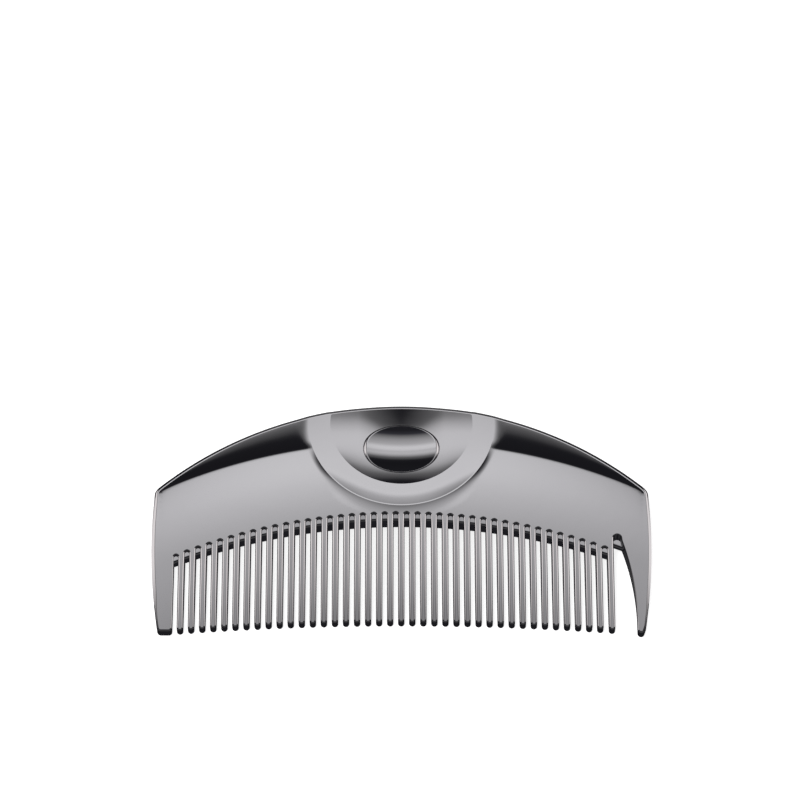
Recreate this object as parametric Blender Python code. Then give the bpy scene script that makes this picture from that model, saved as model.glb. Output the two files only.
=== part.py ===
"""Half-moon comb with a dished thumb rest, modelled in metres, lying on its flat back.

The width runs along X, the teeth point to -Y, the curved spine is at +Y and the face looks up.
The comb is one polished moulding with its teeth, and an oval inlay sits in the thumb rest.
"""

import math

import bmesh
import bpy

MM = 0.001

# Outline, in millimetres
HALF_WIDTH = 64.8
HALF_HEIGHT = 32.74
SPINE_RADIUS = 95.0
SIDE_RADIUS = 160.0
WIDEST_Y = -6.0
CORNER_RADIUS = 1.4
LEFT_GUARD_FOOT = -32.28
LEFT_GUARD_CORNER = 1.0

# Thickness of the crowned face above the flat back
TIP_THICKNESS = 2.7
FACE_THICKNESS = 7.1
FACE_THICKNESS_LOSS = 2.0
RIM_THICKNESS = 5.7
RIM_THICKNESS_LOSS = 0.95
ARRIS_RADIUS = 155.0
ARRIS_Y = 20.9
RIM_SLOPE = 0.075
SCOOP_SHARES = (1.0, 0.7, 0.45, 0.22)
FACE_SHARES = (1.0, 0.8, 0.6, 0.4, 0.2, 0.0)

# Teeth and the slots between them
SLOT_COUNT = 40
SLOT_PITCH = 2.841
FIRST_SLOT_X = -58.4
SLOT_WIDTH = 1.25
ARCH_OVERLAP = 0.03
ARCH_LINE_Y = 1.15
ARCH_LINE_RADIUS = 150.0
TIP_LINE_Y = -29.68
TIP_LINE_RADIUS = 690.0
LAST_TOOTH_X = 54.1
CREST_HALF_WIDTH = 0.30
SHOULDER_WIDTH = 0.60
SHOULDER_DEPTH = 0.25
SIDE_DEPTH = 0.70
BACK_CORNER = 0.35
TOOTH_INSET = 0.07
TIP_ROUND = 1.5
TIP_SHARES = (0.62, 0.94)
ROOT_REACH = 1.6
ROOT_SHRINK = 0.8
ROOT_SINK = 0.8
ROOT_FOOT = 0.6
ROOT_OVERLAP = 0.25

# Web that joins the teeth between the front and back recesses
WEB_LINE_Y = -0.99
WEB_LINE_RADIUS = 142.0
WEB_BACK = 1.0
WEB_NOSE = 0.9
WEB_NOSE_LOW = 0.55
WEB_NOSE_MIDDLE = (0.35, 0.88)
WEB_REACH = 2.5
WEB_STATIONS = 20
FRONT_RECESS = 2.1
FRONT_RECESS_LOSS = 0.5

# Wide gap and hooked guard tooth at the right end
GAP_CROWN_X = 55.95
GAP_CROWN_Y = -5.21
GAP_CROWN_RADIUS = 1.08
GAP_CROWN_END = 20.0
GAP_FLOOR_Y = -10.28
HOOK_X = 60.9
HOOK_Y = -29.78
HOOK_RADIUS = 72.7
HOOK_TIP_RADIUS = 0.93
HOOK_START = 0.8
GAP_WEB_Y = -7.08
GAP_WEB_SLOPE = -0.32
GAP_WEB_REACH = 1.5
GAP_WEB_OVERLAP = 0.3

# Thumb rest: raised disc, dish and oval inlay
DISC_RADIUS = 24.6
DISC_Y = 26.6
DISC_THICKNESS = 7.1
DISC_LIFT = 0.2
DISC_FALL_Y = 15.0
DISC_POWER = 1.6
DISC_FOOT = 1.0
SOCKET_FOOT = 1.5
DISH_RADIUS = 18.7
DISH_Y = 27.1
DISH_POWER = 1.25
DISH_SHARES = (0.0, 0.5, 1.12)
DISH_STATIONS = 56
DIP_DEPTH = 0.5
DIP_HALF_WIDTH = 20.0
DIP_START_Y = 22.0
OVAL_HALF_LENGTH = 10.05
OVAL_HALF_HEIGHT = 7.3
OVAL_Y = 19.15
OVAL_THICKNESS = 6.1
OVAL_SAG = 1.1
HOLLOW_DEPTH = 6.0
HOLLOW_MARGIN = 1.04
RECESS_DEPTH = 2.6
FIT_GAP = 0.3

OVERSHOOT = 4.0
DISC_SEAM = 0.05
FORM_OVERHANG = 0.3
CURVE_STEPS = 40
FORM_STATIONS = 24
DISC_STATIONS = 9
DISC_ROWS = 9


def arc_drop(offset, radius):
    """Return how far a circle of this radius falls at a distance from its top."""
    return radius - math.sqrt(radius * radius - offset * offset)


def spine_y(x):
    """Return the Y of the curved spine."""
    return HALF_HEIGHT - arc_drop(x, SPINE_RADIUS)


def arris_y(x):
    """Return the Y of the crisp line where the face turns into the scoops."""
    return ARRIS_Y - arc_drop(x, ARRIS_RADIUS)


def side_x(y):
    """Return the half width of the comb at Y."""
    return HALF_WIDTH - arc_drop(y - WIDEST_Y, SIDE_RADIUS)


def arch_y(x):
    """Return the Y of the slots' crowns."""
    return ARCH_LINE_Y - arc_drop(x, ARCH_LINE_RADIUS)


def web_y(x):
    """Return the Y of the web's lower edge."""
    return WEB_LINE_Y - arc_drop(x, WEB_LINE_RADIUS)


def tip_y(x):
    """Return the Y of the tooth tips."""
    return TIP_LINE_Y - arc_drop(x, TIP_LINE_RADIUS)


def crown_z(x):
    """Return the thickness along the arris."""
    return FACE_THICKNESS - FACE_THICKNESS_LOSS * (x / HALF_WIDTH) ** 2


def rim_z(x):
    """Return the thickness along the spine's rim."""
    return RIM_THICKNESS - RIM_THICKNESS_LOSS * (x / HALF_WIDTH) ** 2


def scoop_z(x, share):
    """Return the height of the hollow scoop, at a share of the way from the arris to the rim."""
    drop = crown_z(x) - rim_z(x)
    ease = RIM_SLOPE * (spine_y(x) - arris_y(x)) / drop
    return crown_z(x) - drop * ((2.0 - ease) * share - (1.0 - ease) * share * share)


def face_z(x, y):
    """Return the height of the crowned face."""
    rise = (y - tip_y(x)) / (arris_y(x) - tip_y(x))
    rise = min(max(rise, 0.0), 1.0)
    return TIP_THICKNESS + (crown_z(x) - TIP_THICKNESS) * rise * (2.0 - rise)


def disc_z(x, y):
    """Return the height of the raised disc, which falls to just above the spine's rim."""
    run = (y - DISC_FALL_Y) / (spine_y(x) - DISC_FALL_Y)
    drop = DISC_THICKNESS - rim_z(x) - DISC_LIFT
    return DISC_THICKNESS - drop * max(run, 0.0) ** DISC_POWER


def dish_edge_z(x, y):
    """Return the height of the dish's border, which dips where it runs out over the spine."""
    middle = max(1.0 - (x / DIP_HALF_WIDTH) ** 2, 0.0)
    run = max((y - DIP_START_Y) / (HALF_HEIGHT - DIP_START_Y), 0.0)
    return disc_z(x, y) - DIP_DEPTH * middle * run


def web_front_z(x, y):
    """Return the height of the recessed face between two teeth."""
    return face_z(x, y) - FRONT_RECESS + FRONT_RECESS_LOSS * abs(x) / HALF_WIDTH


def clear_scene():
    """Remove every object of the scene."""
    for item in list(bpy.data.objects):
        bpy.data.objects.remove(item, do_unlink=True)


def make_material(name, colour, metallic, roughness):
    """Make a Principled material."""
    material = bpy.data.materials.new(name)
    material.use_nodes = True
    shader = material.node_tree.nodes["Principled BSDF"]
    shader.inputs["Base Color"].default_value = (*colour, 1.0)
    shader.inputs["Metallic"].default_value = metallic
    shader.inputs["Roughness"].default_value = roughness
    material.diffuse_color = (*colour, 1.0)
    return material


def add_object(name, mesh, collection):
    """Add a mesh to a collection as an object."""
    item = bpy.data.objects.new(name, mesh)
    collection.objects.link(item)
    return item


def mark_cutter(item):
    """Keep a helper solid out of the render."""
    item.hide_render = True
    item.display_type = "WIRE"
    return item


def combine(item, other, operation):
    """Add an exact Boolean modifier."""
    modifier = item.modifiers.new(operation.title() + " " + other.name, "BOOLEAN")
    modifier.operation = operation
    modifier.solver = "EXACT"
    modifier.object = other


def add_plate(name, points, low, high, collection):
    """Extrude a flat outline between two heights."""
    curve = bpy.data.curves.new(name, "CURVE")
    curve.dimensions = "2D"
    curve.fill_mode = "BOTH"
    curve.extrude = (high - low) / 2.0 * MM
    spline = curve.splines.new("POLY")
    spline.points.add(len(points) - 1)
    for point, (x, y) in zip(spline.points, points):
        point.co = (x * MM, y * MM, 0.0, 1.0)
    spline.use_cyclic_u = True
    guide = bpy.data.objects.new(name + "_curve", curve)
    guide.location.z = (low + high) / 2.0 * MM
    collection.objects.link(guide)
    bpy.context.view_layer.update()
    mesh = bpy.data.meshes.new_from_object(guide.evaluated_get(bpy.context.evaluated_depsgraph_get()))
    place = guide.matrix_world.copy()
    bpy.data.objects.remove(guide, do_unlink=True)
    shape = bmesh.new()
    shape.from_mesh(mesh)
    bmesh.ops.remove_doubles(shape, verts=shape.verts, dist=1e-6)
    bmesh.ops.recalc_face_normals(shape, faces=shape.faces)
    shape.to_mesh(mesh)
    shape.free()
    item = add_object(name, mesh, collection)
    item.matrix_world = place
    return item


def add_lofts(name, lofts, collection):
    """Skin closed rings of points, in millimetres, into capped solids of one mesh."""
    shape = bmesh.new()
    for rings in lofts:
        rows = [[shape.verts.new([c * MM for c in point]) for point in ring] for ring in rings]
        count = len(rows[0])
        for near, far in zip(rows, rows[1:]):
            for i in range(count):
                j = (i + 1) % count
                shape.faces.new((near[i], near[j], far[j], far[i]))
        shape.faces.new(rows[0])
        shape.faces.new(rows[-1])
    bmesh.ops.recalc_face_normals(shape, faces=shape.faces)
    bmesh.ops.triangulate(shape, faces=shape.faces)
    mesh = bpy.data.meshes.new(name)
    shape.to_mesh(mesh)
    shape.free()
    return add_object(name, mesh, collection)


def arc_points(centre, radius, start, end, steps):
    """Return points along an arc, with angles in degrees."""
    points = []
    for i in range(steps + 1):
        angle = math.radians(start + (end - start) * i / steps)
        points.append((centre[0] + radius * math.cos(angle), centre[1] + radius * math.sin(angle)))
    return points


def round_corner(before, corner, after, radius, steps=3):
    """Return a curve that rounds a corner between two directions."""
    points = []
    reach = []
    for other in (before, after):
        length = math.hypot(other[0] - corner[0], other[1] - corner[1])
        share = radius / length
        reach.append((corner[0] + (other[0] - corner[0]) * share, corner[1] + (other[1] - corner[1]) * share))
    for i in range(steps + 1):
        t = i / steps
        weights = ((1 - t) ** 2, 2 * t * (1 - t), t * t)
        x = weights[0] * reach[0][0] + weights[1] * corner[0] + weights[2] * reach[1][0]
        y = weights[0] * reach[0][1] + weights[1] * corner[1] + weights[2] * reach[1][1]
        points.append((x, y))
    return points


def slot_x(index):
    """Return the centre of a slot."""
    return FIRST_SLOT_X + SLOT_PITCH * index


def slot_arch(index):
    """Return the round top of a slot, from left to right."""
    radius = SLOT_WIDTH / 2.0 + ARCH_OVERLAP
    centre = (slot_x(index), arch_y(slot_x(index)) - radius)
    return arc_points(centre, radius, 180.0, 0.0, 4)


def hook_x(y):
    """Return the inner edge of the hooked guard tooth."""
    return HOOK_X - arc_drop(min(HOOK_Y - y, 0.0), HOOK_RADIUS)


def corner_y():
    """Return the Y where the sides meet the spine."""
    low = 0.0
    high = HALF_HEIGHT / 2.0
    for _ in range(40):
        middle = (low + high) / 2.0
        if spine_y(side_x(middle)) > middle:
            low = middle
        else:
            high = middle
    return low


def outline():
    """Return the outline of the plate and its two guard teeth, without the tooth combs."""
    top = corner_y()
    inner_left = FIRST_SLOT_X - SLOT_WIDTH / 2.0
    outer_left = -side_x(LEFT_GUARD_FOOT)
    points = round_corner(
        (-side_x(LEFT_GUARD_FOOT + 3.0), LEFT_GUARD_FOOT + 3.0),
        (outer_left, LEFT_GUARD_FOOT),
        (inner_left, LEFT_GUARD_FOOT),
        LEFT_GUARD_CORNER,
    )
    points += round_corner(
        (outer_left, LEFT_GUARD_FOOT),
        (inner_left, LEFT_GUARD_FOOT),
        (inner_left, 0.0),
        LEFT_GUARD_CORNER,
    )
    first_spring = slot_arch(0)[0]
    points.append((inner_left, first_spring[1]))
    for index in range(SLOT_COUNT):
        arch = slot_arch(index)
        points += arch[1:] if index == 0 else arch
    gap_left = GAP_CROWN_X - GAP_CROWN_RADIUS
    points.append((gap_left, GAP_FLOOR_Y))
    points += arc_points((GAP_CROWN_X, GAP_CROWN_Y - GAP_CROWN_RADIUS), GAP_CROWN_RADIUS, 180.0, GAP_CROWN_END, 6)
    hook_foot = -HALF_HEIGHT + HOOK_TIP_RADIUS
    hook_start = GAP_CROWN_Y - GAP_CROWN_RADIUS - HOOK_START
    for i in range(9):
        y = hook_start + (hook_foot - hook_start) * i / 8.0
        points.append((hook_x(y), y))
    points += arc_points((HOOK_X + HOOK_TIP_RADIUS, hook_foot), HOOK_TIP_RADIUS, 180.0, 350.0, 6)[1:]
    for i in range(1, 12):
        y = hook_foot + (top - CORNER_RADIUS - hook_foot) * i / 11.0
        points.append((side_x(y), y))
    corner = (side_x(top), top)
    inward = (side_x(top) - 3.0, spine_y(side_x(top) - 3.0))
    points += round_corner((side_x(top - 3.0), top - 3.0), corner, inward, CORNER_RADIUS)[1:]
    reach = side_x(top) - CORNER_RADIUS
    for i in range(1, CURVE_STEPS):
        x = reach - 2.0 * reach * i / CURVE_STEPS
        points.append((x, spine_y(x)))
    left = round_corner((side_x(top - 3.0), top - 3.0), corner, inward, CORNER_RADIUS)
    points += [(-x, y) for x, y in reversed(left)]
    for i in range(10, 0, -1):
        y = LEFT_GUARD_FOOT + LEFT_GUARD_CORNER + (top - CORNER_RADIUS - LEFT_GUARD_FOOT) * i / 11.0
        points.append((-side_x(y), y))
    return points


def form_section(x):
    """Return one YZ section of the crowned face, its scoop and the flat back."""
    section = [(x, HALF_HEIGHT + OVERSHOOT, 0.0), (x, HALF_HEIGHT + OVERSHOOT, rim_z(x))]
    arris = arris_y(x)
    for share in SCOOP_SHARES:
        section.append((x, arris + (spine_y(x) - arris) * share, scoop_z(x, share)))
    for share in FACE_SHARES:
        y = tip_y(x) + (arris - tip_y(x)) * share
        section.append((x, y, face_z(x, y)))
    section.append((x, -HALF_HEIGHT - OVERSHOOT, TIP_THICKNESS))
    section.append((x, -HALF_HEIGHT - OVERSHOOT, 0.0))
    return section


def disc_section(x):
    """Return one YZ section of the raised disc's sloping top."""
    back = DISC_Y + DISC_RADIUS + OVERSHOOT
    foot = DISC_Y - DISC_RADIUS - OVERSHOOT
    section = [(x, foot, 0.5), (x, back, 0.5), (x, back, disc_z(x, spine_y(x) + 1.0))]
    for i in range(DISC_ROWS, 0, -1):
        y = foot + (spine_y(x) + 1.0 - foot) * i / DISC_ROWS
        section.append((x, y, disc_z(x, y)))
    section.append((x, foot, DISC_THICKNESS))
    return section


def add_drum(name, radius, foot, collection):
    """Make an upright cylinder on the disc's centre, from a foot height to well above the face."""
    height = 3.0 * DISC_THICKNESS / 2.0
    bpy.ops.mesh.primitive_cylinder_add(
        vertices=72, radius=radius * MM, depth=height * MM, location=(0.0, DISC_Y * MM, (foot + height / 2.0) * MM)
    )
    drum = bpy.context.object
    drum.name = name
    for owner in list(drum.users_collection):
        owner.objects.unlink(drum)
    collection.objects.link(drum)
    return drum


def add_form(collection):
    """Make the solid between the flat back and the crowned face with its raised disc."""
    reach = HALF_WIDTH + FORM_OVERHANG
    stations = [reach * (2.0 * i / FORM_STATIONS - 1.0) for i in range(FORM_STATIONS + 1)]
    form = add_lofts("face_form", [[form_section(x) for x in stations]], collection)
    socket = add_drum("disc_socket", DISC_RADIUS - DISC_SEAM, SOCKET_FOOT, collection)
    combine(form, mark_cutter(socket), "DIFFERENCE")
    disc = add_drum("disc_form", DISC_RADIUS, DISC_FOOT, collection)
    reach = DISC_RADIUS + 1.0
    stations = [reach * (2.0 * i / DISC_STATIONS - 1.0) for i in range(DISC_STATIONS + 1)]
    slope = mark_cutter(add_lofts("disc_slope", [[disc_section(x) for x in stations]], collection))
    combine(disc, slope, "INTERSECT")
    mark_cutter(disc)
    combine(form, disc, "UNION")
    return mark_cutter(form)


def dish_border(angle):
    """Return the rim point of the dish on a ray from the oval's centre."""
    ray = (math.cos(angle), math.sin(angle))
    rise = OVAL_Y - DISH_Y
    half = rise * ray[1]
    reach = -half + math.sqrt(half * half - rise * rise + DISH_RADIUS * DISH_RADIUS)
    low = 0.0
    high = reach
    if OVAL_Y + reach * ray[1] > spine_y(reach * ray[0]):
        for _ in range(40):
            middle = (low + high) / 2.0
            if OVAL_Y + middle * ray[1] < spine_y(middle * ray[0]):
                low = middle
            else:
                high = middle
        reach = low
    return (reach * ray[0], OVAL_Y + reach * ray[1])


def add_dish(collection):
    """Make the cutter of the dish, a loft from the oval to the disc's inner circle."""
    rings = []
    for share in DISH_SHARES:
        ring = []
        for i in range(DISH_STATIONS):
            angle = 2.0 * math.pi * i / DISH_STATIONS
            border = dish_border(angle)
            stretch = math.hypot(math.cos(angle) / OVAL_HALF_LENGTH, math.sin(angle) / OVAL_HALF_HEIGHT)
            edge = (math.cos(angle) / stretch, OVAL_Y + math.sin(angle) / stretch)
            x = edge[0] + (border[0] - edge[0]) * share
            y = edge[1] + (border[1] - edge[1]) * share
            rise = dish_edge_z(*border) - OVAL_THICKNESS
            ring.append((x, y, OVAL_THICKNESS + rise * share ** DISH_POWER))
        rings.append(ring)
    rings.append([(x, y, 2.0 * DISC_THICKNESS) for x, y, _ in rings[-1]])
    return mark_cutter(add_lofts("dish_cutter", [rings], collection))


def add_oval(name, shrink, low, high, collection):
    """Make a level oval disc between two distances from the height of the oval's edge."""
    bpy.ops.mesh.primitive_cylinder_add(vertices=48, radius=1.0, depth=(high - low) * MM)
    item = bpy.context.object
    item.name = name
    item.data.name = name
    for vertex in item.data.vertices:
        vertex.co.x *= (OVAL_HALF_LENGTH - shrink) * MM
        vertex.co.y *= (OVAL_HALF_HEIGHT - shrink) * MM
        vertex.co.z += (low + high) / 2.0 * MM
    item.location = (0.0, OVAL_Y * MM, OVAL_THICKNESS * MM)
    for owner in list(item.users_collection):
        owner.objects.unlink(item)
    collection.objects.link(item)
    return item


def add_inlay(parts, cutters, material):
    """Make the oval inlay with its hollow face."""
    inlay = add_oval("thumb_inlay", FIT_GAP, FIT_GAP - RECESS_DEPTH, 0.0, parts)
    spread = math.sqrt(1.0 - ((HOLLOW_DEPTH - OVAL_SAG) / HOLLOW_DEPTH) ** 2) * HOLLOW_MARGIN
    bpy.ops.mesh.primitive_uv_sphere_add(segments=48, ring_count=32, radius=1.0)
    ball = bpy.context.object
    ball.name = "inlay_hollow"
    for vertex in ball.data.vertices:
        vertex.co.x *= (OVAL_HALF_LENGTH - FIT_GAP) / spread * MM
        vertex.co.y *= (OVAL_HALF_HEIGHT - FIT_GAP) / spread * MM
        vertex.co.z = (vertex.co.z * HOLLOW_DEPTH + HOLLOW_DEPTH - OVAL_SAG) * MM
    ball.location = inlay.location
    for owner in list(ball.users_collection):
        owner.objects.unlink(ball)
    cutters.objects.link(ball)
    combine(inlay, mark_cutter(ball), "DIFFERENCE")
    inlay.data.materials.append(material)
    return inlay


def web_section(x, low_y, high_y):
    """Return one YZ section of the web with its sloped nose."""
    front = web_front_z(x, low_y + WEB_NOSE)
    tall = front - WEB_BACK
    return [
        (x, high_y, WEB_BACK),
        (x, low_y, WEB_BACK),
        (x, low_y, WEB_BACK + tall * WEB_NOSE_LOW),
        (x, low_y + WEB_NOSE * WEB_NOSE_MIDDLE[0], WEB_BACK + tall * WEB_NOSE_MIDDLE[1]),
        (x, low_y + WEB_NOSE, front),
        (x, high_y, front),
    ]


def add_web(collection):
    """Make the web behind the slots and the higher one in the wide gap."""
    start = FIRST_SLOT_X - WEB_REACH
    comb = []
    for i in range(WEB_STATIONS + 1):
        x = start + (LAST_TOOTH_X - start) * i / WEB_STATIONS
        comb.append(web_section(x, web_y(x), arch_y(x) + WEB_REACH))
    gap = []
    left = LAST_TOOTH_X + GAP_WEB_OVERLAP
    for x in (left, left + WEB_REACH, GAP_CROWN_X + WEB_REACH):
        gap.append(web_section(x, GAP_WEB_Y + GAP_WEB_SLOPE * (x - left), GAP_CROWN_Y + GAP_WEB_REACH))
    web = add_lofts("web", [comb], collection)
    return [mark_cutter(web), mark_cutter(add_lofts("gap_web", [gap], collection))]


def tooth_section(x, y, half, low, high, scale):
    """Return one XZ section of a tooth, shrunk towards its middle at the tip."""
    crest = CREST_HALF_WIDTH / (SLOT_PITCH - SLOT_WIDTH) * 2.0 * half
    shoulder = SHOULDER_WIDTH / (SLOT_PITCH - SLOT_WIDTH) * 2.0 * half
    side = [
        (half - BACK_CORNER, low),
        (half, low + BACK_CORNER),
        (half, high - SIDE_DEPTH),
        (shoulder, high - SHOULDER_DEPTH),
        (crest, high),
    ]
    middle = (low + high) / 2.0
    points = side + [(-offset, z) for offset, z in reversed(side)]
    return [(x + offset * scale, y, middle + (z - middle) * scale) for offset, z in points]


def tooth_rings(x):
    """Return the sections of one tooth from inside the plate to its round tip."""
    half = (SLOT_PITCH - SLOT_WIDTH) / 2.0
    root = arch_y(x)
    tip = tip_y(x)
    high = face_z(x, root) - ROOT_SINK
    rings = [tooth_section(x, root + ROOT_REACH, half * ROOT_SHRINK, ROOT_FOOT, high, 1.0)]
    for y in (root + ROOT_OVERLAP, (root + tip) / 2.0, tip + TIP_ROUND):
        rings.append(tooth_section(x, y, half, TOOTH_INSET, face_z(x, y) - TOOTH_INSET, 1.0))
    for share in TIP_SHARES:
        scale = math.sqrt(1.0 - share * share)
        y = tip + TIP_ROUND * (1.0 - share)
        rings.append(tooth_section(x, y, half, TOOTH_INSET, face_z(x, y) - TOOTH_INSET, scale))
    return rings


def add_teeth(collection):
    """Make the row of teeth as closed lofts that the body takes in."""
    places = [slot_x(index) + SLOT_PITCH / 2.0 for index in range(SLOT_COUNT - 1)]
    places.append(LAST_TOOTH_X)
    return mark_cutter(add_lofts("teeth", [tooth_rings(x) for x in places], collection))


def add_body(parts, cutters, material):
    """Make the comb's moulding: plate, thumb rest, web, teeth and guard teeth."""
    body = add_plate("comb_body", outline(), -OVERSHOOT, 2.0 * DISC_THICKNESS, parts)
    combine(body, add_form(cutters), "INTERSECT")
    combine(body, add_dish(cutters), "DIFFERENCE")
    recess = mark_cutter(add_oval("oval_recess", 0.0, -RECESS_DEPTH, OVERSHOOT, cutters))
    combine(body, recess, "DIFFERENCE")
    for web in add_web(cutters):
        combine(body, web, "UNION")
    combine(body, add_teeth(cutters), "UNION")
    body.data.materials.append(material)
    return body


def main():
    """Build the comb."""
    clear_scene()
    parts = bpy.data.collections.new("comb")
    cutters = bpy.data.collections.new("cutters")
    for collection in (parts, cutters):
        bpy.context.scene.collection.children.link(collection)
    chrome = make_material("dark_chrome", (0.40, 0.40, 0.42), 1.0, 0.08)
    inlay_chrome = make_material("inlay_chrome", (0.46, 0.46, 0.49), 1.0, 0.06)
    add_body(parts, cutters, chrome)
    add_inlay(parts, cutters, inlay_chrome)


main()
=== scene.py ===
"""Looks of a half-moon hand comb in polished dark chrome, lying on its back on a pale studio floor.

The comb is one plated moulding with a dished thumb rest, and a separate oval inlay sits in the dish.
Sizes are in millimetres until a mesh is made, and the frame's own boxes give the main ones.
"""
from __future__ import annotations

import logging
import math
from dataclasses import dataclass, field
from enum import Enum, IntEnum

import bpy
import numpy as np
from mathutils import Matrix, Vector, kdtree
from mathutils.geometry import delaunay_2d_cdt


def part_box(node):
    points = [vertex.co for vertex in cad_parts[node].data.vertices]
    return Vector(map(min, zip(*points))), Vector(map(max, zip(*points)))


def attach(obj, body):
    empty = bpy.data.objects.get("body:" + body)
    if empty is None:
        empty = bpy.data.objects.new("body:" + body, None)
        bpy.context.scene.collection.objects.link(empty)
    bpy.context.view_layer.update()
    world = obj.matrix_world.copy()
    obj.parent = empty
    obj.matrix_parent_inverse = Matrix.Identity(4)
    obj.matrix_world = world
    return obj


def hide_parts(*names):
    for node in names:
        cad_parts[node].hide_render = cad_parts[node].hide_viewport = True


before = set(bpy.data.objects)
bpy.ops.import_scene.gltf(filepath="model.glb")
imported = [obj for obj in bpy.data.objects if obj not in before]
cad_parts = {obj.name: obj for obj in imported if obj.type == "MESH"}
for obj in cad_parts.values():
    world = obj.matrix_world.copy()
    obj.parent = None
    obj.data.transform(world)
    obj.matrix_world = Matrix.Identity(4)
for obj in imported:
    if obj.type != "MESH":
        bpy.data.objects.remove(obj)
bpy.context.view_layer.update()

MM = 0.001
# The gap that the solids keep between the inlay and its seat.
FIT_GAP = 0.3
LOG = logging.getLogger("comb")


def linear_colour(hex_code: str) -> tuple[float, float, float]:
    """Turn an sRGB hex colour into linear light.

    Args:
        hex_code: Six hex digits, with or without a leading #.

    Returns:
        The red, green and blue shares in linear light.
    """
    digits = hex_code.lstrip("#")
    shares = [int(digits[i:i + 2], 16) / 255.0 for i in (0, 2, 4)]
    return tuple(s / 12.92 if s <= 0.04045 else ((s + 0.055) / 1.055) ** 2.4 for s in shares)


def grey_light(level: float) -> float:
    """Turn an sRGB level from 0 to 255 into linear light."""
    return linear_colour(f"{round(level):02x}" * 3)[0]


def add_node(tree: bpy.types.NodeTree, kind: str, settings: dict | None = None, links: dict | None = None,
             values: dict | None = None) -> bpy.types.Node:
    """Add a node with its settings, input values and links.

    Args:
        tree: The node tree that takes the node.
        kind: The node's type name, such as ShaderNodeMath.
        settings: Attributes to set on the node.
        links: Input names or numbers, each with the output socket that feeds it.
        values: Input names or numbers, each with its constant.

    Returns:
        The new node.
    """
    node = tree.nodes.new(kind)
    for name, value in (settings or {}).items():
        setattr(node, name, value)
    for name, value in (values or {}).items():
        node.inputs[name].default_value = value
    for name, socket in (links or {}).items():
        tree.links.new(socket, node.inputs[name])
    return node


def arc_drop(offset: np.ndarray | float, radius: float) -> np.ndarray | float:
    """Return how far a circle of this radius falls at a distance from its top."""
    return radius - np.sqrt(radius * radius - np.asarray(offset, float) ** 2)


def smooth_step(low: float, high: float, value: np.ndarray | float) -> np.ndarray | float:
    """Return a smooth ramp from 0 at low to 1 at high."""
    share = np.clip((np.asarray(value, float) - low) / (high - low), 0.0, 1.0)
    return share * share * (3.0 - 2.0 * share)


class Zone(Enum):
    """A stretch of the comb's outline, named for what it borders."""

    TOOTH = "tooth side"
    ARCH = "slot crown"
    TIP = "tooth tip"
    GUARD = "guard's inner side"
    FOOT = "guard's foot"
    LEFT_SIDE = "left side"
    RIGHT_SIDE = "right side"
    SPINE = "spine"


@dataclass(frozen=True)
class EdgeRound:
    """How an edge of the face is rounded: how wide, how deep, and how wide a level land is left inside it."""

    width: float
    depth: float
    land: float = 0.05


EDGE_ROUNDS = {
    Zone.TOOTH: EdgeRound(0.60, 0.66),
    Zone.ARCH: EdgeRound(0.30, 0.32),
    Zone.TIP: EdgeRound(0.42, 0.60),
    Zone.GUARD: EdgeRound(0.26, 0.34),
    Zone.FOOT: EdgeRound(0.55, 0.80),
    Zone.LEFT_SIDE: EdgeRound(1.00, 0.80),
    Zone.RIGHT_SIDE: EdgeRound(0.80, 0.60),
    Zone.SPINE: EdgeRound(0.76, 0.40, 0.20),
}

# The rounding's section: the share of its width, from the wall inwards, and its lean there in degrees.
EDGE_SECTION = (
    (0.0, 90.0), (0.10, 70.0), (0.24, 55.0), (0.35, 42.0), (0.52, 34.0), (0.68, 27.0), (0.84, 20.0),
    (0.94, 10.0), (1.0, 0.0),
)


def edge_profile() -> tuple[np.ndarray, np.ndarray, np.ndarray]:
    """Return the rounding's width shares, its depth shares below the face, and its leans in radians."""
    share = np.array([point[0] for point in EDGE_SECTION])
    lean = np.radians([point[1] for point in EDGE_SECTION])
    middle = (lean[1:] + lean[:-1]) / 2.0
    drops = np.diff(share) * np.tan(middle)
    below = np.append(np.cumsum(drops[::-1])[::-1], 0.0)
    return share, below / below[0], lean


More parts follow.
